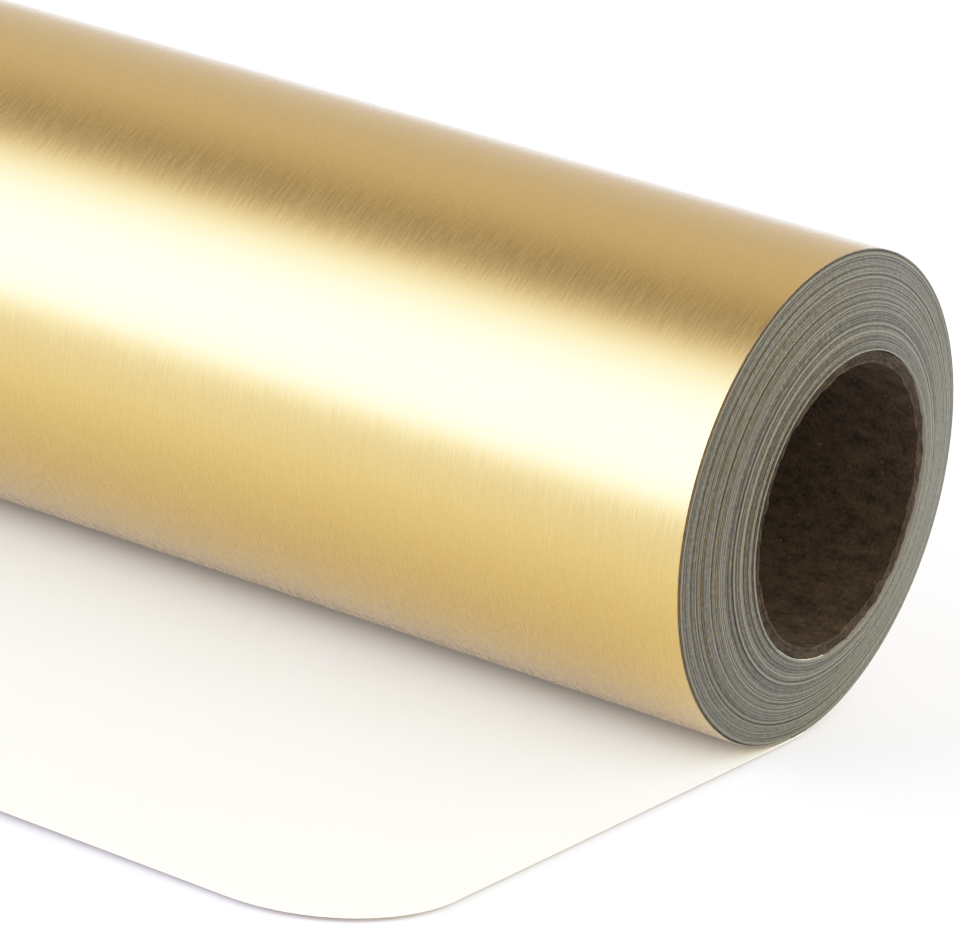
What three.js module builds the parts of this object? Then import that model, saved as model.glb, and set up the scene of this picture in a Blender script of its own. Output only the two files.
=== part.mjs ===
// A roll of self-adhesive sign vinyl, wound on a paperboard core, with its free end laid out in front.
//
// Millimetres. The roll's axis is parallel to X, the free end runs towards -Y, and +Z is up.
// The origin is on the floor, under the middle of the whole object.
//
// The web is one long strip in two layers: a face film, wound outwards, and the release liner on its back.
// It leaves the roll at the bottom. Its first turn off goes up the rear, over the top and down the front,
// and each turn inside that one lies closer to the core. The turns are coarser here than on a real roll.
// Three bodies stand for what moves: the sheet on the floor, the short length that has just left the roll,
// and the roll itself.

import * as THREE from 'three';

// Web
const webWidth = 610; // both layers, edge to edge
const rollDiameter = 134; // over the outermost turn
const woundTurns = 10; // turns between the outermost one and the core
const telescope = 7; // how far the innermost turn stands out past the outermost at the +X end

// Core
const coreBore = 76.2;
const plyCount = 4; // paperboard plies, from the bore outwards
const plyThickness = 0.65;
const coreRecess = 0.3; // the core's rim, behind the edge of the innermost turn

// Tape that holds the inner end of the web to the core
const tapeThickness = 0.25;
const tapeArc = THREE.MathUtils.degToRad(36);

// Free end
const tailLength = 195; // from the line where the web leaves the roll to the free edge
const tailCornerRadius = 40;
const layerThickness = 0.25; // film or liner, where they lie flat
const payOutTravel = 120; // how far the roll can back away and leave web behind it
const payOutLap = 10; // the least length of web that still overlaps the laid sheet
const heel = 15; // flat web that carries the roll, behind the line where it leaves

// Clearances
const plyGap = 0.2; // between two plies of the core
const turnGap = 0.3; // between any two layers that are wound on the core
const flatGap = 0.1; // between film and liner, where they lie flat
const slideGap = 0.2; // between the laid sheet and what slides over it
const rollGap = 0.3; // under the roll
const seamGap = 0.6; // where the outermost turn comes round to its own beginning

// Facets in a full turn, the same in every round piece, so that nested pieces keep their gaps
const turnFacets = 40;

// Radii
const rollRadius = rollDiameter / 2;
const boreRadius = coreBore / 2;
const coreRadius = boreRadius + plyCount * plyThickness + (plyCount - 1) * plyGap;
const woundRadius = coreRadius + 2 * turnGap + tapeThickness; // inside of the innermost turn
const turnPitch = (rollRadius + turnGap - woundRadius) / (woundTurns + 2);
const woundThickness = turnPitch / 2 - turnGap; // film or liner, on the core

// Heights of the flat layers, and the roll's axis
const flatPitch = layerThickness + flatGap;
const laidHeight = flatPitch + layerThickness;
const leadOffBase = laidHeight + slideGap;
const axisZ = leadOffBase + laidHeight + rollGap + rollRadius;
const axisY = (tailLength - rollRadius) / 2;

// Along the roll: the free end and the outermost turn are this far off the middle of the whole object
const webMiddleX = -telescope / 2;
const coreMiddleX = webMiddleX + telescope - coreRecess;

const filmMaterial = new THREE.MeshStandardMaterial({ color: 0xcbaa69, roughness: 0.35, metalness: 0.9 });
const linerMaterial = new THREE.MeshStandardMaterial({ color: 0xf4efe8, roughness: 0.7, metalness: 0 });
const boardMaterial = new THREE.MeshStandardMaterial({ color: 0x5b4a39, roughness: 0.95, metalness: 0 });
const tapeMaterial = new THREE.MeshStandardMaterial({ color: 0xd9d3c2, roughness: 0.5, metalness: 0 });

// Extrusions run along Z. This turns one to run along X, with its outline in the YZ plane.
const alongX = new THREE.Matrix4().makeBasis(
  new THREE.Vector3(0, 1, 0),
  new THREE.Vector3(0, 0, 1),
  new THREE.Vector3(1, 0, 0),
);

// The outline is drawn around the roll's axis, and the solid is centred on the given place along X.
function extrudeAlongX(shape, length, middleX) {
  const geometry = new THREE.ExtrudeGeometry(shape, {
    depth: length,
    bevelEnabled: false,
    curveSegments: turnFacets / 2,
  });
  geometry.translate(0, 0, middleX - length / 2);
  return geometry.applyMatrix4(alongX);
}

// The angles at which a wound layer has its corners: its two ends, and each facet edge between them.
function facetAngles(from, to) {
  const step = (2 * Math.PI) / turnFacets;
  const angles = [from];
  for (let i = Math.floor(from / step) + 1; i * step < to - step / 10; i += 1) {
    angles.push(i * step);
  }
  angles.push(to);
  return angles;
}

// Angles start at the bottom of the roll and grow towards the rear, the top and the front.
function onTurn(radius, angle) {
  return new THREE.Vector2(radius * Math.sin(angle), -radius * Math.cos(angle));
}

// The outline of a layer wound from one angle to another, where outside(angle) is its outer radius.
function woundOutline(outside, thickness, from, to) {
  const angles = facetAngles(from, to);
  const outer = angles.map((angle) => onTurn(outside(angle), angle));
  const inner = angles.map((angle) => onTurn(outside(angle) - thickness, angle));
  return new THREE.Shape([...outer, ...inner.reverse()]);
}

// Each turn stands out a little further than the one around it, so both ends of the roll are cones.
function telescopeTurns(geometry) {
  const position = geometry.getAttribute('position');
  for (let i = 0; i < position.count; i += 1) {
    const radius = Math.hypot(position.getY(i), position.getZ(i));
    const share = (rollRadius - radius) / (rollRadius - woundRadius);
    position.setX(i, position.getX(i) + telescope * Math.min(1, share));
  }
  return geometry;
}

function named(name, geometry, material) {
  const mesh = new THREE.Mesh(geometry, material);
  mesh.name = name;
  return mesh;
}

// The roll, drawn around its own axis

function corePly(index) {
  const inside = boreRadius + index * (plyThickness + plyGap);
  const ring = new THREE.Shape();
  ring.absarc(0, 0, inside + plyThickness, 0, 2 * Math.PI);
  ring.holes.push(new THREE.Path().absarc(0, 0, inside, 0, 2 * Math.PI));
  return extrudeAlongX(ring, webWidth, coreMiddleX);
}

function startTape() {
  const outside = coreRadius + turnGap + tapeThickness;
  const outline = woundOutline(() => outside, tapeThickness, 2 * Math.PI - tapeArc, 2 * Math.PI);
  return extrudeAlongX(outline, webWidth, coreMiddleX);
}

// depth is how far the layer's outer face lies inside the film's
function woundLayer(depth) {
  const outside = (angle) => rollRadius - depth - turnPitch * (1 + angle / (2 * Math.PI));
  const outline = woundOutline(outside, woundThickness, 0, 2 * Math.PI * woundTurns);
  return telescopeTurns(extrudeAlongX(outline, webWidth, webMiddleX));
}

function outermostLayer(depth) {
  const end = 2 * Math.PI - seamGap / rollRadius;
  const outline = woundOutline(() => rollRadius - depth, woundThickness, 0, end);
  return extrudeAlongX(outline, webWidth, webMiddleX);
}

function makeRoll() {
  const linerDepth = woundThickness + turnGap;
  const roll = new THREE.Group();
  roll.position.set(0, axisY, axisZ);
  const plyNames = ['core_inner_ply', 'core_body_ply', 'core_outer_ply'];
  for (let index = 0; index < plyCount; index += 1) {
    const isInner = index === 0;
    const isOuter = index === plyCount - 1;
    const name = isInner ? plyNames[0] : isOuter ? plyNames[2] : `${plyNames[1]}_${index}`;
    roll.add(named(name, corePly(index), boardMaterial));
  }
  roll.add(named('start_tape', startTape(), tapeMaterial));
  roll.add(named('wound_film', woundLayer(0), filmMaterial));
  roll.add(named('wound_liner', woundLayer(linerDepth), linerMaterial));
  roll.add(named('outer_turn_film', outermostLayer(0), filmMaterial));
  roll.add(named('outer_turn_liner', outermostLayer(linerDepth), linerMaterial));
  return roll;
}

// The flat web, drawn from the line where it leaves the roll, which is Y = 0 in its group

function laidOutline() {
  const side = webWidth / 2;
  const cornerX = side - tailCornerRadius;
  const cornerY = tailCornerRadius - tailLength;
  const outline = new THREE.Shape();
  outline.moveTo(side, heel);
  outline.lineTo(-side, heel);
  outline.absarc(-cornerX, cornerY, tailCornerRadius, Math.PI, 1.5 * Math.PI);
  outline.absarc(cornerX, cornerY, tailCornerRadius, 1.5 * Math.PI, 2 * Math.PI);
  return outline;
}

function laidLayer(base) {
  const geometry = new THREE.ExtrudeGeometry(laidOutline(), {
    depth: layerThickness,
    bevelEnabled: false,
    curveSegments: 6,
  });
  return geometry.translate(0, 0, base);
}

function leadOffLayer(base) {
  const length = payOutTravel + payOutLap + heel;
  const geometry = new THREE.BoxGeometry(webWidth, length, layerThickness);
  return geometry.translate(0, heel - length / 2, leadOffBase + base + layerThickness / 2);
}

function makeFlatWeb() {
  const web = new THREE.Group();
  web.position.set(webMiddleX, axisY, 0);
  web.add(named('laid_film', laidLayer(0), filmMaterial));
  web.add(named('laid_liner', laidLayer(flatPitch), linerMaterial));
  web.add(named('lead_off_film', leadOffLayer(0), filmMaterial));
  web.add(named('lead_off_liner', leadOffLayer(flatPitch), linerMaterial));
  return web;
}

const vinylRoll = new THREE.Group();
vinylRoll.add(makeFlatWeb());
vinylRoll.add(makeRoll());

export default vinylRoll;
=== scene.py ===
"""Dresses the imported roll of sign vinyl: the wound web, its paperboard core and the free end laid in front.

Metres throughout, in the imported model's frame: +X along the roll, -Y the way the free end runs, +Z up.
Small sizes are written in millimetres, times MM.
"""

import logging
import math
from collections.abc import Callable, Iterator
from contextlib import contextmanager
from dataclasses import dataclass, field
from enum import Enum

import bpy
import numpy as np
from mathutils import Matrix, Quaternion, Vector


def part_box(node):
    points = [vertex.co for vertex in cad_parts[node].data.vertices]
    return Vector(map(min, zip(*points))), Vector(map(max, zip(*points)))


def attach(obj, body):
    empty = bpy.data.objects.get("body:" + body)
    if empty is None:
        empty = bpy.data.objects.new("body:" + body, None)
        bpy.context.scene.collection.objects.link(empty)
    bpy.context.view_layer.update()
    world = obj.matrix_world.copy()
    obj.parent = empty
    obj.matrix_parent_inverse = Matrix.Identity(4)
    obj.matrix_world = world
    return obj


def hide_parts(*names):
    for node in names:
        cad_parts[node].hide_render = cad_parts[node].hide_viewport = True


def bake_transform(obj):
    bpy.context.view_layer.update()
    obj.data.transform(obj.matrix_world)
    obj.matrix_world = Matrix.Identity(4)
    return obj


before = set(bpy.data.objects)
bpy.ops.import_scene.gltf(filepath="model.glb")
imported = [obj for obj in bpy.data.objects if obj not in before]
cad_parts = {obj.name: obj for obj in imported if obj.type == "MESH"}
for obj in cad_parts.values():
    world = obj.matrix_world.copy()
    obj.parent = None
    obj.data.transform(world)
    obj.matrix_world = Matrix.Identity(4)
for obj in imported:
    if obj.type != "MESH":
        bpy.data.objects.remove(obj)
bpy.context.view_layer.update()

log = logging.getLogger("vinyl_roll")

MM = 0.001
FULL_TURN = 2 * math.pi
Rule = Callable[[np.ndarray], np.ndarray]
Colour = tuple[float, float, float]
Place = tuple[float, float, float]
Pair = tuple[float, float]
Piece = bpy.types.Object
Socket = bpy.types.NodeSocket


class Body(str, Enum):
    """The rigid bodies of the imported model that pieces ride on."""

    LAID = "laid_sheet"
    LEAD_OFF = "lead_off"
    ROLL = "roll"


class Slot(str, Enum):
    """The material slots."""

    FILM = "brushed_gold_film"
    LINER = "release_liner"
    BOARD = "core_board"
    TAPE = "tape"


def stand_for(piece: Piece, slot: Slot, *nodes: str) -> None:
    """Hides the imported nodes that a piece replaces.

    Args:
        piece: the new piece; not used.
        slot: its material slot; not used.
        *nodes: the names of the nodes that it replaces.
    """
    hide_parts(*nodes)


# ---------------------------------------------------------------------------------------------
# Bench tools


def deselect() -> None:
    """Leaves object mode with nothing selected."""
    if bpy.context.object is not None and bpy.context.object.mode != "OBJECT":
        bpy.ops.object.mode_set(mode="OBJECT")
    bpy.ops.object.select_all(action="DESELECT")


def claim(name: str) -> Piece:
    """Names the primitive that was just added, and puts its place in its mesh.

    Args:
        name: the piece's name.

    Returns:
        The new piece, at the origin, unturned and unscaled.
    """
    piece = bpy.context.object
    piece.name = name
    piece.data.name = name
    bpy.ops.object.transform_apply(location=True, rotation=True, scale=True)
    return piece


def pick(piece: Piece) -> None:
    """Makes a piece the only selected and active one.

    Args:
        piece: the object to pick.
    """
    deselect()
    piece.select_set(True)
    bpy.context.view_layer.objects.active = piece


@contextmanager
def editing(piece: Piece, select: str = "SELECT") -> Iterator[None]:
    """Puts a piece in edit mode for the length of a with block.

    Args:
        piece: the mesh to edit.
        select: the select_all action to begin with.

    Yields:
        Nothing; the piece is in edit mode meanwhile.
    """
    pick(piece)
    bpy.ops.object.mode_set(mode="EDIT")
    bpy.ops.mesh.select_all(action=select)
    try:
        yield
    finally:
        bpy.ops.object.mode_set(mode="OBJECT")


def points_of(piece: Piece) -> np.ndarray:
    """Reads a piece's vertices.

    Args:
        piece: the mesh to read.

    Returns:
        Rows of x, y, z.
    """
    flat = np.empty(len(piece.data.vertices) * 3)
    piece.data.vertices.foreach_get("co", flat)
    return flat.reshape(-1, 3)


def move_points(piece: Piece, rule: Rule) -> None:
    """Moves every vertex of a piece to where the rule puts it.

    Args:
        piece: the mesh to shape.
        rule: takes rows of x, y, z and returns rows of the same kind.
    """
    piece.data.vertices.foreach_set("co", rule(points_of(piece)).ravel())
    piece.data.update()


def apply_modifier(piece: Piece, kind: str, **settings: object) -> None:
    """Adds a modifier to a piece and applies it.

    Args:
        piece: the mesh to finish.
        kind: the modifier's type, such as SOLIDIFY.
        **settings: the modifier's own settings.
    """
    pick(piece)
    modifier = piece.modifiers.new(kind.lower(), kind)
    for key, value in settings.items():
        setattr(modifier, key, value)
    bpy.ops.object.modifier_apply(modifier=modifier.name)


def weld(piece: Piece, distance: float = 0.001 * MM) -> None:
    """Merges doubled vertices and turns every face outwards.

    Args:
        piece: the mesh to close.
        distance: how far apart doubles may be.
    """
    with editing(piece):
        bpy.ops.mesh.remove_doubles(threshold=distance)
        bpy.ops.mesh.normals_make_consistent(inside=False)


def smooth(piece: Piece, degrees: float) -> None:
    """Shades a piece smooth, apart from corners sharper than the given angle."""
    pick(piece)
    bpy.ops.object.shade_smooth_by_angle(angle=math.radians(degrees))


def dress(piece: Piece, *materials: bpy.types.Material) -> None:
    """Gives a piece its materials.

    Args:
        piece: the mesh to dress.
        *materials: what it is dressed in; every face starts with the first.
    """
    piece.data.materials.clear()
    for material in materials:
        piece.data.materials.append(material)


def dress_faces(piece: Piece, index: int, picks: Callable[[Vector], bool]) -> None:
    """Gives some of a piece's faces another of its materials.

    Args:
        piece: the mesh to dress.
        index: the material's place among the piece's materials.
        picks: takes a face's normal and says whether that face gets it.
    """
    for face in piece.data.polygons:
        if picks(face.normal):
            face.material_index = index


def looks_along(normal: Vector) -> bool:
    """Whether a face looks along the roll, as the web's slit edges do."""
    return abs(normal.x) > 0.7


def looks_sideways(normal: Vector) -> bool:
    """Whether a face looks sideways, as the edges of a laid sheet do."""
    return abs(normal.z) < 0.5


def bend_grid(name: str, columns: int, rows: int, rule: Rule) -> Piece:
    """Adds a flat grid and bends it to shape.

    Args:
        name: the piece's name.
        columns: how many faces it has along X.
        rows: how many faces it has along Y.
        rule: takes the flat grid's x, y, z, from -0.5 to 0.5, and returns where each point goes.

    Returns:
        The bent grid, with no thickness yet.
    """
    deselect()
    bpy.ops.mesh.primitive_grid_add(x_subdivisions=columns, y_subdivisions=rows, size=1.0)
    grid = claim(name)
    move_points(grid, rule)
    return grid


def thicken(sheet: Piece, thickness: float, sharp: float = 40.0) -> None:
    """Gives a sheet its thickness, half to each side.

    Args:
        sheet: the mesh to thicken.
        thickness: how thick it becomes.
        sharp: corners above this angle in degrees stay sharp.
    """
    apply_modifier(sheet, "SOLIDIFY", thickness=thickness, offset=0.0)
    weld(sheet)
    smooth(sheet, sharp)


def wander(along: np.ndarray, step: float, size: float, seed: int) -> np.ndarray:
    """A smooth, irregular value along a length, the same each time for the same seed.

    Args:
        along: the places to give a value for, from 0 up.
        step: the distance between the random values that the curve joins.
        size: how far it goes either side of 0.
        seed: which curve.

    Returns:
        One value for each place.
    """
    places = along / step
    knots = np.random.default_rng(seed).uniform(-size, size, int(places.max()) + 2)
    low = np.floor(places).astype(int)
    share = places - low
    ease = share * share * (3 - 2 * share)
    return knots[low] * (1 - ease) + knots[low + 1] * ease


# ---------------------------------------------------------------------------------------------
# Sizes


@dataclass(frozen=True)
class RollSizes:
    """The sizes and places that the sub-assemblies share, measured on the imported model."""

    axis_y: float
    axis_z: float
    radius: float
    outer_low_x: float
    outer_high_x: float
    core_low_x: float
    core_high_x: float
    bore_radius: float
    core_radius: float
    telescope: float
    free_edge_y: float

    @classmethod
    def measure(cls) -> "RollSizes":
        """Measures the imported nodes.

        Returns:
            Their sizes and places.
        """
        low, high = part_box("outer_turn_film")
        core_low, core_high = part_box("core_inner_ply")
        cover_low, cover_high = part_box("core_outer_ply")
        wound_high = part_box("wound_liner")[1]
        laid_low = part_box("laid_film")[0]
        axis_y = (low.y + high.y) / 2
        axis_z = (low.z + high.z) / 2
        lining = points_of(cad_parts["core_inner_ply"])
        bore = np.hypot(lining[:, 1] - axis_y, lining[:, 2] - axis_z).min()
        return cls(
            axis_y=axis_y,
            axis_z=axis_z,
            radius=(high.z - low.z) / 2,
            outer_low_x=low.x,
            outer_high_x=high.x,
            core_low_x=core_low.x,
            core_high_x=core_high.x,
            bore_radius=float(bore),
            core_radius=(cover_high.z - cover_low.z) / 2,
            telescope=wound_high.x - high.x,
            free_edge_y=laid_low.y,
        )

    @property
    def width(self) -> float:
        """The web's width."""
        return self.outer_high_x - self.outer_low_x

    @property
    def middle_x(self) -> float:
        """The middle of the outermost turn and of the free end, along the roll."""
        return (self.outer_high_x + self.outer_low_x) / 2

    @property
    def underside_z(self) -> float:
        """The height of the roll's lowest line."""
        return self.axis_z - self.radius

    def around(self, radius: np.ndarray, angle: np.ndarray) -> tuple[np.ndarray, np.ndarray]:
        """Places points round the axis.

        Angles start at the bottom and grow to the rear, the top and the front.

        Args:
            radius: distance from the axis.
            angle: angle in radians.

        Returns:
            The points' y and z.
        """
        return self.axis_y + radius * np.sin(angle), self.axis_z - radius * np.cos(angle)


@dataclass(frozen=True)
class WebGauge:
    """The thicknesses of the web's two layers."""

    film: float = 0.165 * MM
    liner: float = 0.165 * MM
    air: float = 0.01 * MM

    @property
    def pitch(self) -> float:
        """What one turn adds to the roll's radius."""
        return self.film + self.liner + 2 * self.air

    @property
    def liner_depth(self) -> float:
        """How far the liner's outer face lies inside the film's."""
        return self.film + self.air


# ---------------------------------------------------------------------------------------------
# Finishes


class NodeBench:
    """A short way to build a node tree."""

    def __init__(self, tree: bpy.types.NodeTree) -> None:
        """Clears the tree.

        Args:
            tree: a material's or a world's node tree.
        """
        self.tree = tree
        self.tree.nodes.clear()

    def put(self, value: Socket | float | Colour, target: Socket) -> None:
        """Gives an input its value.

        Args:
            value: a socket to link, or a constant: a number, a place or a colour.
            target: the input.
        """
        if isinstance(value, bpy.types.NodeSocket):
            self.tree.links.new(value, target)
        elif target.type == "RGBA":
            target.default_value = (*value, 1.0)
        else:
            target.default_value = value

    def math(self, operation: str, *values: Socket | float) -> Socket:
        """Adds one Math node.

        Args:
            operation: what it does, such as MULTIPLY.
            *values: its inputs in order, each a socket or a number.

        Returns:
            The result.
        """
        node = self.tree.nodes.new("ShaderNodeMath")
        node.operation = operation
        for slot, value in zip(node.inputs, values):
            self.put(value, slot)
        return node.outputs["Value"]

    def weigh(self, first: Socket, second: Socket, share: float) -> Socket:
        """Adds two values, the second with the weight of share and the first with the rest."""
        return self.math("ADD", self.math("MULTIPLY", first, 1 - share), self.math("MULTIPLY", second, share))

    def apart(self, place: Socket) -> bpy.types.NodeOutputs:
        """Takes a place apart.

        Args:
            place: the place.

        Returns:
            Its parts, named X, Y and Z.
        """
        node = self.tree.nodes.new("ShaderNodeSeparateXYZ")
        self.put(place, node.inputs[0])
        return node.outputs

    def span(self, value: Socket, source: Pair, result: Pair = (0.0, 1.0), curve: str = "LINEAR") -> Socket:
        """Turns one range of values into another, and holds the ends.

        Args:
            value: what is turned.
            source: the lowest and highest value that go in.
            result: what those two become.
            curve: how it goes between them, LINEAR or SMOOTHSTEP.

        Returns:
            The turned value.
        """
        node = self.tree.nodes.new("ShaderNodeMapRange")
        node.interpolation_type = curve
        self.put(value, node.inputs["Value"])
        for slot, number in zip(list(node.inputs)[1:5], (*source, *result)):
            slot.default_value = number
        return node.outputs["Result"]


@dataclass(frozen=True)
class Patches:
    """A noise pattern: patches per metre along each axis, finer layers, and how strong each of those is."""

    scale: Place
    detail: float
    roughness: float = 0.5


class Finish(NodeBench):
    """A material under construction, with one Principled shader."""

    def __init__(self, name: str) -> None:
        """Starts the material.

        Args:
            name: the material's name.
        """
        self.material = bpy.data.materials.new(name)
        self.material.use_nodes = True
        super().__init__(self.material.node_tree)
        self.shader = self.tree.nodes.new("ShaderNodeBsdfPrincipled")
        output = self.tree.nodes.new("ShaderNodeOutputMaterial")
        self.put(self.shader.outputs["BSDF"], output.inputs["Surface"])
        self.object_place = self.tree.nodes.new("ShaderNodeTexCoord").outputs["Object"]

    def set(self, **values: Socket | float | Colour) -> None:
        """Sets the shader's own inputs.

        Args:
            **values: sockets or constants by input, with underscores for the spaces in the inputs' names.
        """
        for key, value in values.items():
            self.put(value, self.shader.inputs[key.replace("_", " ")])

    def stretched(self, scale: Place, origin: Place = (0.0, 0.0, 0.0)) -> Socket:
        """Object coordinates, moved and then scaled.

        Args:
            scale: how many pattern units a metre holds, along each axis.
            origin: where the pattern's origin is, in metres.

        Returns:
            The pattern's coordinates.
        """
        moved = self.tree.nodes.new("ShaderNodeMapping")
        moved.inputs["Location"].default_value = tuple(-o * s for o, s in zip(origin, scale))
        moved.inputs["Scale"].default_value = scale
        self.put(self.object_place, moved.inputs["Vector"])
        return moved.outputs["Vector"]

    def noise(self, patches: Patches) -> Socket:
        """Noise from 0 to 1 over the object.

        Args:
            patches: the noise's size and character.

        Returns:
            The noise.
        """
        texture = self.tree.nodes.new("ShaderNodeTexNoise")
        texture.inputs["Scale"].default_value = 1.0
        texture.inputs["Detail"].default_value = patches.detail
        texture.inputs["Roughness"].default_value = patches.roughness
        self.put(self.stretched(patches.scale), texture.inputs["Vector"])
        return texture.outputs["Fac"]

    def rings(self, radius: Socket, scale: float, detail: float) -> Socket:
        """Noise from 0 to 1 that changes with the radius only.

        Args:
            radius: the distance from the rings' middle.
            scale: how many rings a metre holds.
            detail: how many finer layers are added.

        Returns:
            The noise.
        """
        texture = self.tree.nodes.new("ShaderNodeTexNoise")
        texture.noise_dimensions = "1D"
        texture.inputs["Scale"].default_value = scale
        texture.inputs["Detail"].default_value = detail
        self.put(radius, texture.inputs["W"])
        return texture.outputs["Fac"]

    def blend(self, share: Socket, low: Socket | Colour, high: Socket | Colour) -> Socket:
        """Mixes two colours.

        Args:
            share: how much of the second is in the mix, from 0 to 1.
            low: the first colour.
            high: the second colour.

        Returns:
            The mixed colour.
        """
        node = self.tree.nodes.new("ShaderNodeMix")
        node.data_type = "RGBA"
        for slot, value in ((node.inputs[0], share), (node.inputs[6], low), (node.inputs[7], high)):
            self.put(value, slot)
        return node.outputs[2]

    def bump(self, height: Socket, depth: float, strength: float = 1.0) -> None:
        """Roughens the surface.

        Args:
            height: the relief, from 0 to 1.
            depth: what that relief stands for, in metres.
            strength: how much of it shows.
        """
        node = self.tree.nodes.new("ShaderNodeBump")
        node.inputs["Distance"].default_value = depth
        node.inputs["Strength"].default_value = strength
        self.put(height, node.inputs["Height"])
        self.set(Normal=node.outputs["Normal"])


@dataclass(frozen=True)
class BrushedGold:
    """Metallised film, brushed along the web, under a thin clear face.

    The brush lines run the way the web is wound, so they are short across X and long along Y and Z.
    """

    light: Colour = (0.435, 0.279, 0.084)
    dark: Colour = (0.41, 0.260, 0.076)
    roughness: float = 0.27
    streak_roughness: float = 0.055
    fine_lines: Patches = Patches((5000.0, 190.0, 190.0), 3.0)
    long_lines: Patches = Patches((2600.0, 85.0, 85.0), 2.0)
    long_share: float = 0.4
    clouds: Patches = Patches((22.0, 22.0, 22.0), 1.0)
    cloud_weight: float = 0.12
    colour_limits: Pair = (0.35, 0.65)
    roughness_limits: Pair = (0.40, 0.72)
    line_depth: float = 0.00015 * MM
    clear_face: float = 0.55
    clear_face_roughness: float = 0.34

    def make(self) -> bpy.types.Material:
        """Builds the material.

        Returns:
            The finish of the film's gold side.
        """
        nodes = Finish("brushed_gold_film")
        lines = nodes.weigh(nodes.noise(self.fine_lines), nodes.noise(self.long_lines), self.long_share)
        cloud = nodes.math("MULTIPLY", nodes.noise(self.clouds), self.cloud_weight)
        rough = (self.roughness - self.streak_roughness, self.roughness + self.streak_roughness)
        nodes.set(
            Base_Color=nodes.blend(nodes.span(lines, self.colour_limits), self.dark, self.light),
            Roughness=nodes.span(nodes.math("ADD", lines, cloud), self.roughness_limits, rough),
            Metallic=1.0,
            Coat_Weight=self.clear_face,
            Coat_Roughness=self.clear_face_roughness,
            Coat_IOR=1.5,
        )
        nodes.bump(lines, self.line_depth)
        return nodes.material


@dataclass(frozen=True)
class CutEdge:
    """The slit edge of the web, seen as hundreds of thin layers side by side. Its greys are partly the edge's
    own colour and partly painted shade of the narrow gaps between the turns.

    Turns are rings of noise round the centre, in rings per metre.
    """

    name: str
    low: Colour
    high: Colour
    centre: Place
    single_turns: float = 1500.0
    bands_of_turns: float = 330.0
    band_share: float = 0.14
    dust: Patches = Patches((900.0, 900.0, 900.0), 2.0)
    dust_share: float = 0.2
    dust_depth: float = 0.03 * MM
    tone_limits: Pair = (0.42, 0.58)
    roughness: float = 0.6

    def make(self) -> bpy.types.Material:
        """Builds the material: rings of slightly different grey, the darker ones painted shade between the
        turns, with dust across them.

        Returns:
            The finish of an edge.
        """
        nodes = Finish(self.name)
        off_centre = nodes.apart(nodes.stretched((1.0, 1.0, 1.0), self.centre))
        across = nodes.math("POWER", off_centre["Y"], 2.0)
        up = nodes.math("POWER", off_centre["Z"], 2.0)
        radius = nodes.math("SQRT", nodes.math("ADD", across, up))
        turns = nodes.rings(radius, self.single_turns, 3.0)
        bands = nodes.rings(radius, self.bands_of_turns, 1.0)
        dust = nodes.noise(self.dust)
        tone = nodes.weigh(nodes.weigh(turns, bands, self.band_share), dust, self.dust_share)
        tone = nodes.span(tone, self.tone_limits)
        nodes.set(Base_Color=nodes.blend(tone, self.low, self.high), Roughness=self.roughness)
        nodes.bump(dust, self.dust_depth, 0.6)
        return nodes.material


@dataclass(frozen=True)
class SiliconePaper:
    """The release liner: smooth coated white paper."""

    tint: Colour = (0.80, 0.785, 0.635)
    shade: Colour = (0.775, 0.76, 0.61)
    clouds: Patches = Patches((30.0, 30.0, 30.0), 4.0)
    fibres: Patches = Patches((1500.0, 700.0, 1500.0), 3.0)
    fibre_share: float = 0.3
    fibre_depth: float = 0.01 * MM
    tone_limits: Pair = (0.35, 0.65)
    roughness: Pair = (0.42, 0.55)

    def make(self) -> bpy.types.Material:
        """Builds the material.

        Returns:
            The finish of the liner's faces.
        """
        nodes = Finish("release_liner")
        fibre = nodes.noise(self.fibres)
        tone = nodes.weigh(nodes.noise(self.clouds), fibre, self.fibre_share)
        nodes.set(
            Base_Color=nodes.blend(nodes.span(tone, self.tone_limits), self.shade, self.tint),
            Roughness=nodes.span(fibre, (0.3, 0.7), self.roughness),
            Specular_IOR_Level=0.45,
            Sheen_Weight=0.05,
        )
        nodes.bump(fibre, self.fibre_depth, 0.5)
        return nodes.material


@dataclass(frozen=True)
class Paperboard:
    """Brown recycled board, with pale specks of what it was made from."""

    name: str = "core_board"
    dark: Colour = (0.013, 0.0074, 0.0034)
    light: Colour = (0.056, 0.034, 0.0170)
    speck: Colour = (0.13, 0.10, 0.07)
    mottle: Patches = Patches((160.0, 260.0, 260.0), 5.0, 0.62)
    pulp: Patches = Patches((1300.0, 900.0, 900.0), 3.0, 0.6)
    pulp_share: float = 0.4
    tone_limits: Pair = (0.38, 0.66)
    specks: Patches = Patches((820.0, 820.0, 820.0), 1.0)
    speck_limits: Pair = (0.73, 0.80)
    speck_weight: float = 0.5
    relief: float = 0.35 * MM

    def make(self) -> bpy.types.Material:
        """Builds the material.

        Returns:
            The finish of the core.
        """
        nodes = Finish(self.name)
        tone = nodes.weigh(nodes.noise(self.mottle), nodes.noise(self.pulp), self.pulp_share)
        board = nodes.blend(nodes.span(tone, self.tone_limits), self.dark, self.light)
        specks = nodes.span(nodes.noise(self.specks), self.speck_limits, (0.0, self.speck_weight))
        nodes.set(Base_Color=nodes.blend(specks, board, self.speck), Roughness=0.95, Specular_IOR_Level=0.2)
        nodes.bump(tone, self.relief, 0.7)
        return nodes.material


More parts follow.
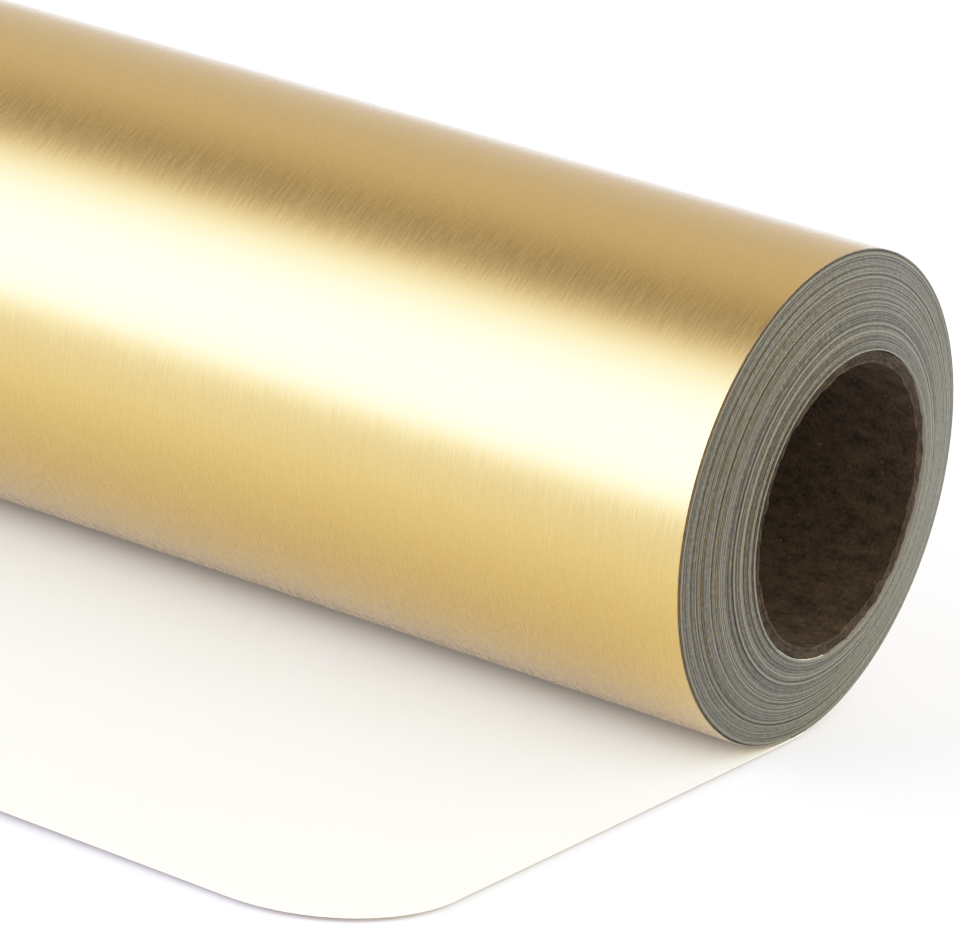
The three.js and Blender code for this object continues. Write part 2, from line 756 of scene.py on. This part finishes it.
@dataclass(frozen=True)
class StartTape:
    """Pale double-sided tape."""

    thread: Colour = (0.62, 0.58, 0.48)
    # The thread colour darkened: painted shade in the gaps between the threads.
    hollow_painted_shade: Colour = (0.496, 0.464, 0.384)
    weave: Patches = Patches((900.0, 900.0, 900.0), 2.0)

    def make(self) -> bpy.types.Material:
        """Builds the material.

        Returns:
            The finish of the tape.
        """
        nodes = Finish("tape")
        # Mixes the threads with the painted shade between them.
        nodes.set(Base_Color=nodes.blend(nodes.noise(self.weave), self.hollow_painted_shade, self.thread), Roughness=0.6)
        return nodes.material


@dataclass
class Finishes:
    """Every finish on the roll, made once and shared."""

    sizes: RollSizes
    gold: bpy.types.Material = field(init=False)
    film_edge: bpy.types.Material = field(init=False)
    liner: bpy.types.Material = field(init=False)
    liner_edge: bpy.types.Material = field(init=False)
    liner_side_painted_shade: bpy.types.Material = field(init=False)
    board: bpy.types.Material = field(init=False)
    torn_board: bpy.types.Material = field(init=False)
    tape: bpy.types.Material = field(init=False)

    def __post_init__(self) -> None:
        """Makes the materials."""
        self.gold = BrushedGold().make()
        self.liner = SiliconePaper().make()
        self.board = Paperboard().make()
        self.torn_board = Paperboard("torn_board", (0.013, 0.009, 0.0055), (0.048, 0.034, 0.022)).make()
        self.tape = StartTape().make()
        # The wound liner's faces, seen only in the steps of the roll's end: the white liner darkened, as
        # painted shade of those narrow steps, in rings like a cut edge.
        self.liner_side_painted_shade = self.edge("liner_side_painted_shade", (0.058, 0.052, 0.038), (0.235, 0.210, 0.160))
        # Cut edges: each low grey is its high grey darkened, as painted shade between the turns. Both greys
        # are kept dark, partly with painted shade of the gaps.
        self.film_edge = self.edge("film_cut_edge", (0.014, 0.013, 0.009), (0.070, 0.064, 0.0445))
        self.liner_edge = self.edge("liner_cut_edge", (0.026, 0.025, 0.018), (0.134, 0.130, 0.095))

    def edge(self, name: str, low: Colour, high: Colour) -> bpy.types.Material:
        """Makes the finish of a cut edge, with its rings round the roll's axis."""
        return CutEdge(name, low, high, (0.0, self.sizes.axis_y, self.sizes.axis_z)).make()


# ---------------------------------------------------------------------------------------------
# Sub-assemblies


@dataclass
class WoundWeb:
    """The turns between the outermost one and the core: film and liner, one strip each."""

    sizes: RollSizes
    finishes: Finishes
    gauge: WebGauge = field(default_factory=WebGauge)
    columns_per_turn: int = 96
    core_clearance: float = 0.12 * MM
    turn_unevenness: float = 0.15 * MM
    turns_per_slip: float = 0.45
    band_unevenness: float = 0.26 * MM
    turns_per_band: float = 2.6
    film_set_back: float = 0.09 * MM

    @property
    def turns(self) -> float:
        """How many turns fit between the outermost one and the core."""
        depth = self.sizes.radius - self.gauge.pitch - self.sizes.core_radius - self.core_clearance
        return depth / self.gauge.pitch - 1

    def stand_out(self, radius: np.ndarray, turn: np.ndarray) -> np.ndarray:
        """How far the web's edge stands out past the outermost turn's, towards +X.

        Args:
            radius: where the edge is, from the axis.
            turn: how many turns in from the outside.

        Returns:
            The distance in metres: a cone, with single turns and bands of turns slightly out of line, more so
            at the front of the roll than at its rear.
        """
        sizes = self.sizes
        cone = sizes.telescope * (sizes.radius - radius) / (sizes.radius - sizes.core_radius)
        # 1 at the front of the roll and 0.2 at its rear
        front = 0.6 - 0.4 * np.sin(FULL_TURN * turn)
        single = wander(turn, self.turns_per_slip, self.turn_unevenness, seed=11)
        band = wander(turn, self.turns_per_band, self.band_unevenness, seed=5)
        return np.minimum(cone + front * (single + band), sizes.telescope)

    def wind(self, name: str, depth: float, thickness: float, set_back: float) -> Piece:
        """Winds one flat strip onto the roll.

        Args:
            name: the piece's name.
            depth: how far the strip's outer face lies inside the film's.
            thickness: the strip's own thickness.
            set_back: how much narrower than the web it is at each edge.

        Returns:
            The wound strip.
        """
        columns = round(self.turns * self.columns_per_turn)
        sizes = self.sizes

        def onto_roll(flat: np.ndarray) -> np.ndarray:
            """Winds the strip: its X becomes turns from the outside in, and its Y the way along the roll.

            Args:
                flat: the flat grid's vertices.

            Returns:
                The wound strip's vertices.
            """
            turn = np.round((flat[:, 0] + 0.5) * columns) / self.columns_per_turn
            outside = sizes.radius - self.gauge.pitch * (1 + turn) - depth
            y, z = sizes.around(outside - thickness / 2, FULL_TURN * turn)
            x = sizes.middle_x + flat[:, 1] * (sizes.width - 2 * set_back) + self.stand_out(outside, turn)
            return np.column_stack((x, y, z))

        strip = bend_grid(name, columns, 1, onto_roll)
        thicken(strip, thickness)
        return strip

    def build(self) -> list[Piece]:
        """Winds both layers.

        Returns:
            The film and the liner.
        """
        gauge = self.gauge
        film = self.wind("wound_film_turns", 0.0, gauge.film, self.film_set_back)
        dress(film, self.finishes.gold, self.finishes.film_edge)
        stand_for(film, Slot.FILM, "wound_film")
        liner = self.wind("wound_liner_turns", gauge.liner_depth, gauge.liner, 0.0)
        # The wound liner's faces take the liner darkened with painted shade, and its slit edges take the cut
        # edge greys.
        dress(liner, self.finishes.liner_side_painted_shade, self.finishes.liner_edge)
        stand_for(liner, Slot.LINER, "wound_liner")
        for strip in (film, liner):
            dress_faces(strip, 1, looks_along)
            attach(strip, Body.ROLL.value)
        return [film, liner]


@dataclass
class OutermostTurn:
    """The turn that shows: gold film outside, liner under it."""

    sizes: RollSizes
    finishes: Finishes
    gauge: WebGauge = field(default_factory=WebGauge)
    facets: int = 384
    rows: int = 48
    waviness: float = 0.03 * MM

    def layer(self, name: str, outside: float, thickness: float) -> Piece:
        """Rolls one layer up.

        Args:
            name: the piece's name.
            outside: the layer's outer radius.
            thickness: the layer's thickness.

        Returns:
            The layer, as a tube with open ends.
        """
        sizes = self.sizes

        def roll_up(flat: np.ndarray) -> np.ndarray:
            """Rolls the sheet once round the axis, with its Y along the roll.

            Args:
                flat: the flat grid's vertices.

            Returns:
                The tube's vertices.
            """
            around = sizes.around(outside - thickness / 2, FULL_TURN * flat[:, 0])
            return self.slacken(np.column_stack((sizes.middle_x + flat[:, 1] * sizes.width, *around)))

        tube = bend_grid(name, self.facets, self.rows, roll_up)
        weld(tube)
        thicken(tube, thickness)
        return tube

    def slacken(self, places: np.ndarray) -> np.ndarray:
        """Takes a tube a few hundredths of a millimetre out of round, as wound web is.

        Args:
            places: the round tube's vertices.

        Returns:
            The vertices of the tube in its real shape, nowhere wider than before.
        """
        sizes = self.sizes
        y = places[:, 1] - sizes.axis_y
        z = places[:, 2] - sizes.axis_z
        angle = np.arctan2(y, z)
        along = places[:, 0] / sizes.width
        wave = np.sin(2 * angle + 5 * along) + 0.6 * np.sin(3 * angle - 9 * along + 1.0)
        # The waves add up to 1.6 at most, so the tube is never wider than it was
        factor = 1 - self.waviness * (1.6 + wave) / sizes.radius
        return np.column_stack((places[:, 0], sizes.axis_y + y * factor, sizes.axis_z + z * factor))

    def build(self) -> list[Piece]:
        """Makes the film and the liner of the outermost turn.

        Returns:
            The two layers.
        """
        gauge = self.gauge
        radius = self.sizes.radius
        film = self.layer("outermost_film_turn", radius, gauge.film)
        dress(film, self.finishes.gold, self.finishes.liner_edge)
        stand_for(film, Slot.FILM, "outer_turn_film")
        liner = self.layer("outermost_liner_turn", radius - gauge.liner_depth, gauge.liner)
        dress(liner, self.finishes.liner, self.finishes.liner_edge)
        stand_for(liner, Slot.LINER, "outer_turn_liner")
        for layer in (film, liner):
            dress_faces(layer, 1, looks_along)
            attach(layer, Body.ROLL.value)
        return [film, liner]


@dataclass(frozen=True)
class Fray:
    """One wave of the torn rim: how many there are in a turn, where it starts, and its share of the tear."""

    count: int
    phase: float
    size: float


@dataclass
class PaperCore:
    """The spiral-wound paperboard tube, its torn rims, and the tape that holds the web to it."""

    sizes: RollSizes
    finishes: Finishes
    facets: int = 400
    plies: int = 7
    ply_step: float = 0.35 * MM
    ply_crown: float = 0.08 * MM
    rim_set_back: float = 0.1 * MM
    lining: float = 0.45 * MM
    lining_turns: float = 5.0
    lining_joint: float = 0.8 * MM
    lining_trim: float = 0.15 * MM
    lining_facets: int = 200
    tear: float = 0.9 * MM
    tear_reach: float = 1.2 * MM
    tear_blend: float = 1.0 * MM
    frays: tuple[Fray, ...] = (
        Fray(2, 0.1, 0.4),
        Fray(7, 0.7, 0.35),
        Fray(19, 0.3, 0.3),
        Fray(31, 0.9, 0.25),
        Fray(53, 0.5, 0.2),
        Fray(97, 0.8, 0.15),
    )
    tape_arc: float = math.radians(36)
    tape_thickness: float = 0.08 * MM
    tape_facets: int = 24
    glue: float = 0.01 * MM

    def spin_profile(self, name: str, profile: list[Pair]) -> Piece:
        """Spins a closed outline round the roll's axis.

        Args:
            name: the piece's name.
            profile: the outline's corners, each an x and a distance from the axis.

        Returns:
            The ring-shaped piece.
        """
        deselect()
        bpy.ops.mesh.primitive_circle_add(vertices=len(profile), radius=1.0, fill_type="NOTHING")
        piece = claim(name)
        sizes = self.sizes
        corners = np.array(profile)
        rows = np.column_stack(
            (corners[:, 0], np.full(len(corners), sizes.axis_y), sizes.axis_z + corners[:, 1])
        )
        move_points(piece, lambda _: rows)
        with editing(piece):
            bpy.ops.mesh.spin(
                steps=self.facets,
                angle=FULL_TURN,
                center=(0, sizes.axis_y, sizes.axis_z),
                axis=(1, 0, 0),
                use_auto_merge=True,
            )
        weld(piece)
        return piece

    def wall_profile(self) -> list[Pair]:
        """The wall's outline, with a step between plies at both rims.

        Returns:
            Corners of a closed outline.
        """
        sizes = self.sizes
        inside = sizes.bore_radius + self.lining + 2 * self.glue
        outside = sizes.core_radius
        ply = (outside - inside) / self.plies
        rng = np.random.default_rng(3)
        near: list[Pair] = []
        far: list[Pair] = []
        for index in range(self.plies):
            low = inside + index * ply
            step_near, step_far = rng.uniform(0, self.ply_step, 2)
            for share, crown in ((0.06, 0.0), (0.5, self.ply_crown), (0.94, 0.0)):
                near.append((sizes.core_high_x - step_near + crown - self.rim_set_back, low + share * ply))
                far.append((sizes.core_low_x + step_far - crown + self.rim_set_back, low + share * ply))
        cover = [(sizes.core_low_x + 2 * MM, outside), (sizes.core_high_x - 2 * MM, outside)]
        return [*far, *cover, *reversed(near)]

    def ragged(self, places: np.ndarray) -> np.ndarray:
        """Frays both rims: points near them move in and out, each ring of points a little differently.

        Args:
            places: vertices of the wall or the lining.

        Returns:
            The frayed vertices.
        """
        sizes = self.sizes
        y = places[:, 1] - sizes.axis_y
        z = places[:, 2] - sizes.axis_z
        turn = (np.arctan2(y, z) / FULL_TURN) % 1.0
        radius = np.hypot(y, z)
        # Points 0.2 mm further from the bore belong to the next ring
        ring = np.round((radius - sizes.bore_radius) / (0.2 * MM))
        fray = sum(
            np.sin(FULL_TURN * (turn * wave.count + 0.09 * ring * wave.phase + wave.phase)) * wave.size
            for wave in self.frays
        )
        near = np.clip((places[:, 0] - sizes.core_high_x + self.tear_reach) / self.tear_blend, 0, 1)
        far = np.clip((sizes.core_low_x + self.tear_reach - places[:, 0]) / self.tear_blend, 0, 1)
        # A torn rim loses paper, so most of it lies further back than it did
        shift = self.tear * (fray - 0.9) * 0.5
        x = places[:, 0] + near * shift - far * shift
        return np.column_stack((x, places[:, 1], places[:, 2]))

    def wall(self) -> Piece:
        """Makes the body and outer plies, as one wall.

        Returns:
            The wall.
        """
        wall = self.spin_profile("core_wall_plies", self.wall_profile())
        move_points(wall, self.ragged)
        smooth(wall, 35)
        dress(wall, self.finishes.board, self.finishes.torn_board)
        dress_faces(wall, 1, looks_along)
        stand_for(wall, Slot.BOARD, "core_body_ply_1", "core_body_ply_2", "core_outer_ply")
        return wall

    def lining_ply(self) -> Piece:
        """Makes the innermost ply: one paper strip wound as a screw, with an open joint between its edges.

        Returns:
            The lining.
        """
        sizes = self.sizes
        turns = self.lining_turns
        length = sizes.core_high_x - sizes.core_low_x
        lead = length / (turns - 1)

        def onto_bore(flat: np.ndarray) -> np.ndarray:
            """Winds the strip as a screw on the inside of the wall.

            Args:
                flat: the flat grid's vertices.

            Returns:
                The wound strip's vertices.
            """
            turn = (flat[:, 0] + 0.5) * turns
            start = sizes.core_low_x + (turn - 1) * lead
            x = start + (flat[:, 1] + 0.5) * (lead - self.lining_joint)
            radius = np.full(len(flat), sizes.bore_radius + self.lining / 2)
            y, z = sizes.around(radius, FULL_TURN * turn)
            return np.column_stack((x, y, z))

        strip = bend_grid("core_lining_ply", round(turns * self.lining_facets), 16, onto_bore)
        trim = self.lining_trim
        for place, side in ((sizes.core_high_x - trim, 1), (sizes.core_low_x + trim, -1)):
            with editing(strip):
                bpy.ops.mesh.bisect(
                    plane_co=(place, 0, 0), plane_no=(side, 0, 0), clear_outer=True, clear_inner=False
                )
        thicken(strip, self.lining)
        move_points(strip, self.ragged)
        dress(strip, self.finishes.board)
        stand_for(strip, Slot.BOARD, "core_inner_ply")
        return strip

    def tape(self) -> Piece:
        """Makes the strip of tape between the core and the innermost turn.

        Returns:
            The tape.
        """
        sizes = self.sizes

        def onto_core(flat: np.ndarray) -> np.ndarray:
            """Lays the strip on the core, from a little in front of its lowest line up to it.

            Args:
                flat: the flat grid's vertices.

            Returns:
                The laid strip's vertices.
            """
            angle = -self.tape_arc * (0.5 - flat[:, 0])
            radius = np.full(len(flat), sizes.core_radius + self.glue + self.tape_thickness / 2)
            y, z = sizes.around(radius, angle)
            x = (sizes.core_high_x + sizes.core_low_x) / 2 + flat[:, 1] * sizes.width
            return np.column_stack((x, y, z))

        tape = bend_grid("web_start_tape", self.tape_facets, 1, onto_core)
        thicken(tape, self.tape_thickness)
        dress(tape, self.finishes.tape)
        stand_for(tape, Slot.TAPE, "start_tape")
        return tape

    def build(self) -> list[Piece]:
        """Makes the core and its tape.

        Returns:
            Every piece of the core.
        """
        pieces = [self.wall(), self.lining_ply(), self.tape()]
        for piece in pieces:
            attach(piece, Body.ROLL.value)
        return pieces


@dataclass
class FreeEnd:
    """The web laid out in front of the roll, liner up, from the line where it leaves the roll."""

    sizes: RollSizes
    finishes: Finishes
    gauge: WebGauge = field(default_factory=WebGauge)
    corner_radius: float = 40 * MM
    tuck: float = 7 * MM
    nip_gap: float = 0.03 * MM
    edge_lift: float = 3.2 * MM
    lift_curve: float = 1.5
    corner_drop: float = 0.6
    sag: float = 0.9 * MM
    nip_hold: float = 2 * MM
    columns: int = 160
    straight_rows: int = 60
    corner_rows: int = 24

    @property
    def length(self) -> float:
        """From the line where the web leaves the roll to the free edge."""
        return self.sizes.axis_y - self.sizes.free_edge_y

    def rows(self) -> tuple[np.ndarray, np.ndarray]:
        """Where each row of the sheet lies, and half its width there.

        Returns:
            The rows' distances in front of the roll's axis, from the tucked end out, and their half widths.
        """
        corner_start = self.length - self.corner_radius
        straight = np.linspace(-self.tuck, corner_start, self.straight_rows, endpoint=False)
        turn = np.linspace(0, math.pi / 2, self.corner_rows)
        distance = np.concatenate((straight, corner_start + self.corner_radius * np.sin(turn)))
        inset = np.concatenate((np.zeros(len(straight)), self.corner_radius * (1 - np.cos(turn))))
        return distance, self.sizes.width / 2 - inset

    def height(self, across: np.ndarray, distance: np.ndarray) -> np.ndarray:
        """How high the underside of the film lies.

        It hugs the roll where it comes out from under it, sags to the floor, and lifts towards the free edge,
        less at the corners than in the middle.

        Args:
            across: distance from the middle of the web, along the roll.
            distance: distance in front of the line where the web leaves the roll.

        Returns:
            Heights above the floor.
        """
        sizes = self.sizes
        thickness = self.gauge.pitch - self.gauge.air
        nip = sizes.underside_z - self.nip_gap - thickness
        hug = sizes.radius - np.sqrt(sizes.radius**2 - np.clip(-distance, 0, self.tuck) ** 2)
        out = np.clip(distance / self.length, 0, 1)
        to_side = np.clip(np.abs(across) / (sizes.width / 2), 0, 1)
        rise = self.edge_lift * out**self.lift_curve * (1 - self.corner_drop * to_side**2)
        sag = self.sag * np.sin(math.pi * out) * (1 - to_side**4)
        return nip * (1 - out) + hug + rise - sag * (1 - out)

    def layer(self, name: str, above: float, thickness: float) -> Piece:
        """Cuts and lays one layer of the free end.

        Args:
            name: the piece's name.
            above: how far the layer's underside lies above the film's.
            thickness: the layer's thickness.

        Returns:
            The laid layer.
        """
        distance, half_width = self.rows()
        row_count = len(distance)
        sizes = self.sizes

        def lay(flat: np.ndarray) -> np.ndarray:
            """Lays the sheet out, each row at its own distance, width and height.

            Args:
                flat: the flat grid's vertices.

            Returns:
                The laid sheet's vertices.
            """
            row = np.round((0.5 - flat[:, 1]) * (row_count - 1)).astype(int)
            across = flat[:, 0] * 2 * half_width[row]
            z = self.height(across, distance[row]) + above + thickness / 2
            return np.column_stack((sizes.middle_x + across, sizes.axis_y - distance[row], z))

        sheet = bend_grid(name, self.columns, row_count - 1, lay)
        thicken(sheet, thickness)
        return sheet

    def build(self) -> list[Piece]:
        """Lays the film and the liner, and bends both between the floor and the roll.

        Returns:
            The two sheets.
        """
        film = self.layer("free_end_film", 0.0, self.gauge.film)
        dress(film, self.finishes.gold, self.finishes.liner)
        dress_faces(film, 1, looks_sideways)
        stand_for(film, Slot.FILM, "laid_film", "lead_off_film")
        liner = self.layer("free_end_liner", self.gauge.liner_depth, self.gauge.liner)
        dress(liner, self.finishes.liner)
        stand_for(liner, Slot.LINER, "laid_liner", "lead_off_liner")
        for sheet in (film, liner):
            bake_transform(sheet)
        return [film, liner]


# ---------------------------------------------------------------------------------------------
# Studio


@dataclass(frozen=True)
class StudioCamera:
    """A long lens from the front right and a little above, looking at the near end of the roll."""

    azimuth: float = 32.65
    elevation: float = 18.95
    tilt: float = 5.78
    distance: float = 1.513
    aim: Place = (0.0, -0.1633, 0.0454)
    lens: float = 240.2
    sensor: float = 36.0

    def place(self, sizes: RollSizes) -> None:
        """Sets up the scene's camera.

        Args:
            sizes: gives the middle of the near end, which aim is measured from.
        """
        a = math.radians(self.azimuth)
        e = math.radians(self.elevation)
        back = Vector((math.sin(a) * math.cos(e), -math.cos(a) * math.cos(e), math.sin(e)))
        target = Vector((sizes.outer_high_x, sizes.axis_y, sizes.axis_z)) + Vector(self.aim)
        data = bpy.data.cameras.new("studio_camera")
        data.lens = self.lens
        data.sensor_width = self.sensor
        camera = bpy.data.objects.new("studio_camera", data)
        camera.location = target + back * self.distance
        camera.rotation_mode = "QUATERNION"
        level = (-back).to_track_quat("-Z", "Y")
        camera.rotation_quaternion = level @ Quaternion((0, 0, 1), math.radians(self.tilt))
        bpy.context.scene.collection.objects.link(camera)
        bpy.context.scene.camera = camera


@dataclass(frozen=True)
class PictureTone:
    """A soft shoulder: bright colours fade to white instead of being cut off.

    The curve has more points in the dark, as many more as crowding says.
    """

    white: float = 1.85
    hardness: float = 2.4
    points: int = 13
    crowding: float = 1.5

    def shoulder(self, light: float) -> float:
        """How bright a light level looks before it is scaled to white.

        Args:
            light: the level in the scene.

        Returns:
            How bright it looks.
        """
        return light / (1 + light**self.hardness) ** (1 / self.hardness)

    def build(self) -> None:
        """Sets the shoulder up as the scene's tone curve."""
        view = bpy.context.scene.view_settings
        view.view_transform = "Standard"
        view.look = "None"
        view.use_curve_mapping = True
        mapping = view.curve_mapping
        mapping.white_level = (self.white,) * 3
        curve = mapping.curves[3]
        for index in range(1, self.points):
            share = (index / self.points) ** self.crowding
            curve.points.new(share, self.shoulder(share * self.white) / self.shoulder(self.white))
        mapping.update()


@dataclass(frozen=True)
class Panel:
    """Part of the light tent: degrees up from the front horizon and on over the top, brightness and tint."""

    degrees: float
    level: float
    tint: Colour = (1.0, 1.0, 1.0)

    @property
    def place(self) -> float:
        """Where the panel is on a full circle from the front's underside, from 0 to 1."""
        return (self.degrees + 180) / 360


@dataclass(frozen=True)
class SoftWindow:
    """A big soft light behind one part of the tent.

    Each side is a pair: where the light begins, and where it is full. Heights are degrees up from the front
    horizon. Left and right are shares of the whole way to -X and +X.
    """

    level: float
    tint: Colour
    bottom: Pair
    top: Pair
    left: Pair
    right: Pair


class Tent(NodeBench):
    """The world's light under construction."""

    def __init__(self, name: str) -> None:
        """Starts a dark world.

        Args:
            name: the world's name.
        """
        world = bpy.data.worlds.new(name)
        bpy.context.scene.world = world
        world.use_nodes = True
        super().__init__(world.node_tree)
        self.surface = self.tree.nodes.new("ShaderNodeOutputWorld").inputs["Surface"]
        self.way = self.apart(self.tree.nodes.new("ShaderNodeTexCoord").outputs["Generated"])

    def shine(self, strength: Socket, tint: Socket | Colour) -> None:
        """Adds light to what is there.

        Args:
            strength: how bright it is in each direction.
            tint: its colour.
        """
        light = self.tree.nodes.new("ShaderNodeBackground")
        self.put(tint, light.inputs["Color"])
        self.put(strength, light.inputs["Strength"])
        total = light.outputs[0]
        if self.surface.is_linked:
            both = self.tree.nodes.new("ShaderNodeAddShader")
            self.put(self.surface.links[0].from_socket, both.inputs[0])
            self.put(total, both.inputs[1])
            total = both.outputs[0]
        self.put(total, self.surface)

    def fade(self, value: Socket, start: float, full: float) -> Socket:
        """Fades smoothly between two values, whichever of them is higher.

        Args:
            value: what the light fades with.
            start: where it begins.
            full: where it is full.

        Returns:
            0 at start and 1 at full.
        """
        if full < start:
            return self.span(value, (full, start), (1.0, 0.0), "SMOOTHSTEP")
        return self.span(value, (start, full), (0.0, 1.0), "SMOOTHSTEP")


@dataclass(frozen=True)
class Studio:
    """A pale floor under a soft white tent, which has four big soft windows.

    The film mirrors the tent's left half only, so the front window is its broad highlight. The windows on the
    right light the floor and the roll's cut end, and the narrow one on the far left lights the liner.
    """

    floor_size: float = 60.0
    floor_tint: Colour = (0.86, 0.865, 0.92)
    floor_glow: float = 0.10
    shaded_side: Pair = (0.1, 0.8)
    dimmed: float = 0.3
    front_window: SoftWindow = SoftWindow(
        level=8.6,
        tint=(1.0, 1.06, 1.52),
        bottom=(-12, 12),
        top=(81, 30),
        left=(-0.92, -0.7),
        right=(-0.08, -0.36),
    )
    right_window: SoftWindow = SoftWindow(
        level=4.6,
        tint=(1.0, 1.0, 0.93),
        bottom=(-5, 35),
        top=(160, 100),
        left=(0.5, 0.8),
        right=(1.2, 1.1),
    )
    rear_window: SoftWindow = SoftWindow(
        level=2.5,
        tint=(1.0, 1.0, 0.92),
        bottom=(60, 90),
        top=(170, 145),
        left=(0.05, 0.25),
        right=(0.8, 0.5),
    )
    left_window: SoftWindow = SoftWindow(
        level=3.0,
        tint=(1.0, 0.98, 0.62),
        bottom=(10, 40),
        top=(170, 140),
        left=(-1.2, -1.1),
        right=(-0.76, -0.88),
    )
    tent: tuple[Panel, ...] = (
        Panel(-180, 1.2),
        Panel(-20, 0.75, (1.0, 0.99, 0.88)),
        Panel(0, 0.7, (1.0, 0.99, 0.88)),
        Panel(20, 0.7, (1.0, 0.99, 0.88)),
        Panel(45, 0.75, (1.0, 0.99, 0.88)),
        Panel(60, 0.9, (1.0, 0.98, 0.96)),
        Panel(76, 0.80, (1.0, 0.97, 0.93)),
        Panel(92, 0.48, (1.0, 0.95, 0.80)),
        Panel(106, 1.14, (1.0, 0.94, 0.88)),
        Panel(124, 1.36, (1.0, 0.93, 0.84)),
        Panel(150, 1.06, (1.0, 0.90, 0.70)),
        Panel(180, 1.16, (1.0, 0.90, 0.84)),
    )

    @property
    def brightest(self) -> float:
        """The tent's highest level."""
        return max(panel.level for panel in self.tent)

    def lay_floor(self) -> None:
        """Lays the floor."""
        deselect()
        bpy.ops.mesh.primitive_grid_add(x_subdivisions=2, y_subdivisions=2, size=self.floor_size)
        floor = claim("floor")
        nodes = Finish("pale_floor")
        nodes.set(Base_Color=self.floor_tint, Roughness=0.9, Specular_IOR_Level=0.1)
        nodes.set(Emission_Color=(1.0, 1.0, 1.0), Emission_Strength=self.floor_glow)
        dress(floor, nodes.material)

    def fill_ramp(self, ramp: bpy.types.ColorRamp) -> None:
        """Puts the tent's brightness into a colour ramp whose white stands for the highest level.

        Args:
            ramp: the ramp, with the two stops that a new one has.
        """
        ramp.interpolation = "B_SPLINE"
        for index, panel in enumerate(self.tent):
            stop = ramp.elements[index] if index < 2 else ramp.elements.new(panel.place)
            stop.position = panel.place
            stop.color = (*(panel.level / self.brightest * part for part in panel.tint), 1.0)

    def hang_tent(self) -> None:
        """Lights the world like the inside of the tent."""
        nodes = Tent("tent")
        ahead = nodes.math("MULTIPLY", nodes.way["Y"], -1.0)
        degrees = nodes.math("DEGREES", nodes.math("ARCTAN2", nodes.way["Z"], ahead))
        across = nodes.way["X"]
        ramp = nodes.tree.nodes.new("ShaderNodeValToRGB")
        self.fill_ramp(ramp.color_ramp)
        nodes.put(nodes.math("DIVIDE", nodes.math("ADD", degrees, 180.0), 360.0), ramp.inputs["Fac"])
        shade = nodes.math("MULTIPLY", nodes.fade(across, *self.shaded_side), self.dimmed)
        level = nodes.math("MULTIPLY", nodes.math("SUBTRACT", 1.0, shade), self.brightest)
        nodes.shine(level, ramp.outputs["Color"])
        for window in (self.front_window, self.right_window, self.rear_window, self.left_window):
            shine = window.level
            for height in (window.bottom, window.top):
                shine = nodes.math("MULTIPLY", nodes.fade(degrees, *height), shine)
            for side in (window.left, window.right):
                shine = nodes.math("MULTIPLY", nodes.fade(across, *side), shine)
            nodes.shine(shine, window.tint)

    def build(self) -> None:
        """Builds the floor and the light."""
        self.lay_floor()
        self.hang_tent()


def main() -> None:
    """Builds the studio and every sub-assembly, and reports each piece."""
    logging.basicConfig(level=logging.INFO, format="%(name)s: %(message)s")
    sizes = RollSizes.measure()
    StudioCamera().place(sizes)
    Studio().build()
    PictureTone().build()
    finishes = Finishes(sizes)
    for assembly in (
        OutermostTurn(sizes, finishes),
        WoundWeb(sizes, finishes),
        PaperCore(sizes, finishes),
        FreeEnd(sizes, finishes),
    ):
        for piece in assembly.build():
            log.info("%s: %d faces", piece.name, len(piece.data.polygons))


if __name__ == "__main__":
    main()
